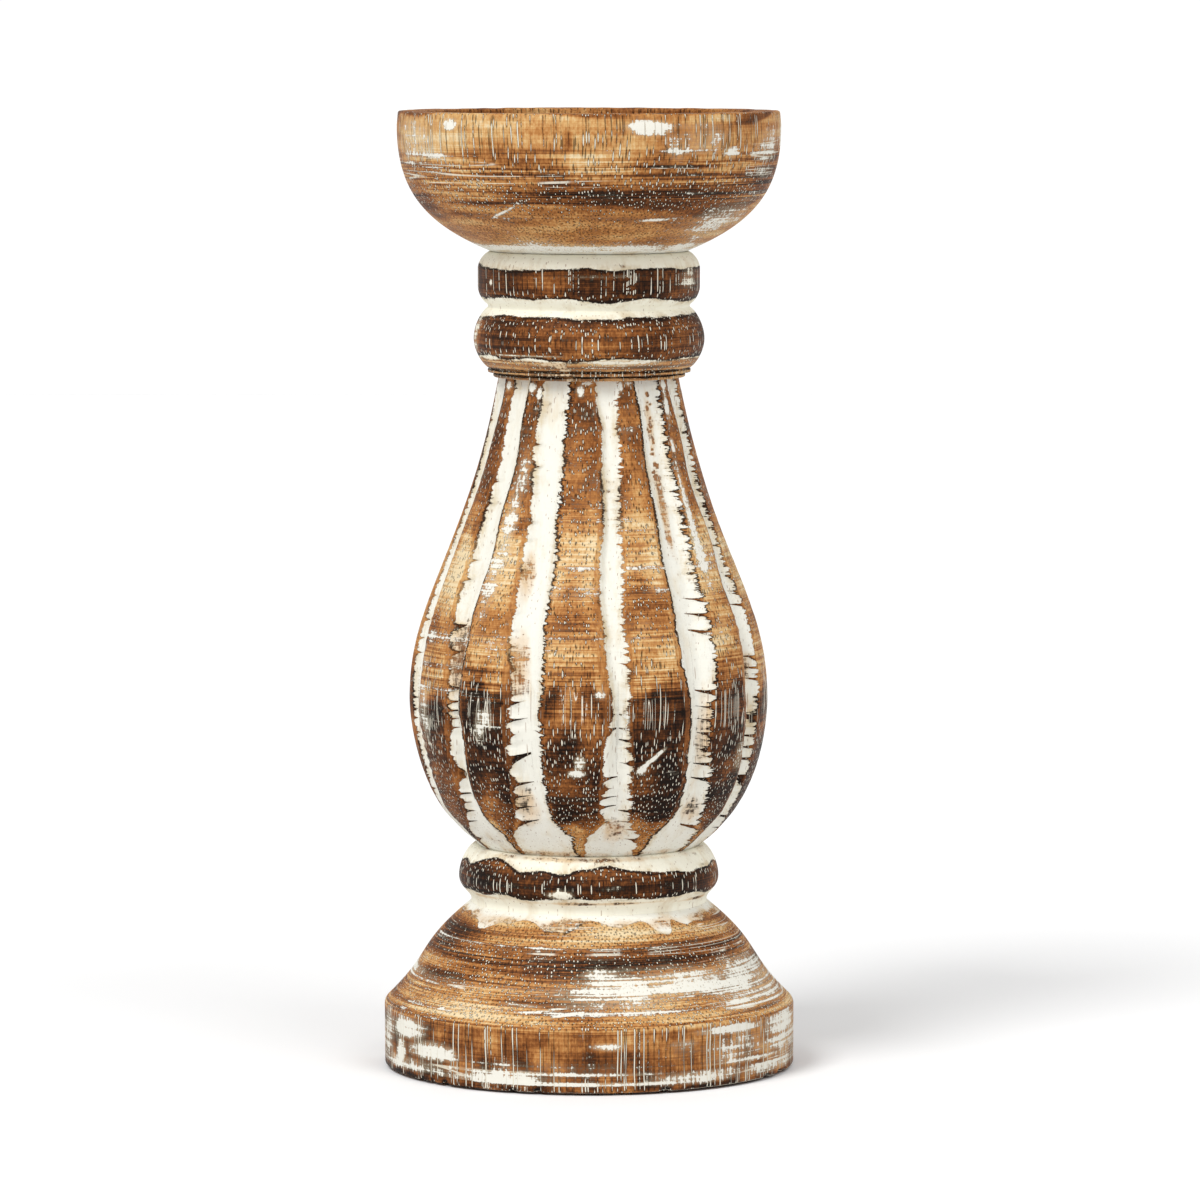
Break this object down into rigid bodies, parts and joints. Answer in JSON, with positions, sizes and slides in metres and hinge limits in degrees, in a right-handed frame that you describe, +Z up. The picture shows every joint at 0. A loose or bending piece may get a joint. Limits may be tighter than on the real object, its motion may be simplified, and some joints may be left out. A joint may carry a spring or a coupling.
{
  "type": "candlestick",
  "caption": "Turned wooden pillar candlestick: a shallow cup on a beaded collar, a pear-shaped fluted body, an ankle ring and a stepped round base on felt.",
  "frame": {"origin": "centre of the felt disc's underside, on the surface that the candlestick stands on", "axes": "+Z up the turning axis, towards the cup; -Y is the front"},
  "size_m": [0.1094, 0.1094, 0.254],
  "materials": {
    "cup_wood": "golden brown stained wood, pores and lathe marks filled with off-white lime, worn satin",
    "collar_wood": "dark brown beads with off-white chalk paint in the coves",
    "body_wood": "off-white chalk paint in the flutes, brown stained ribs rubbed back to pale wood",
    "ring_wood": "dark brown bead with off-white chalk paint above and below",
    "base_wood": "golden to dark brown stained wood with rubbed off-white paint",
    "dowel_beech": "plain unfinished beech",
    "black_felt": "pressed black felt"
  },
  "bodies": {
    "root": {"candle_cup": "cup_wood", "neck_collar": "collar_wood", "fluted_body": "body_wood", "ankle_ring": "ring_wood", "base": "base_wood", "neck_dowel": "dowel_beech", "ankle_dowel": "dowel_beech", "felt_disc": "black_felt"}
  },
  "joints": []
}
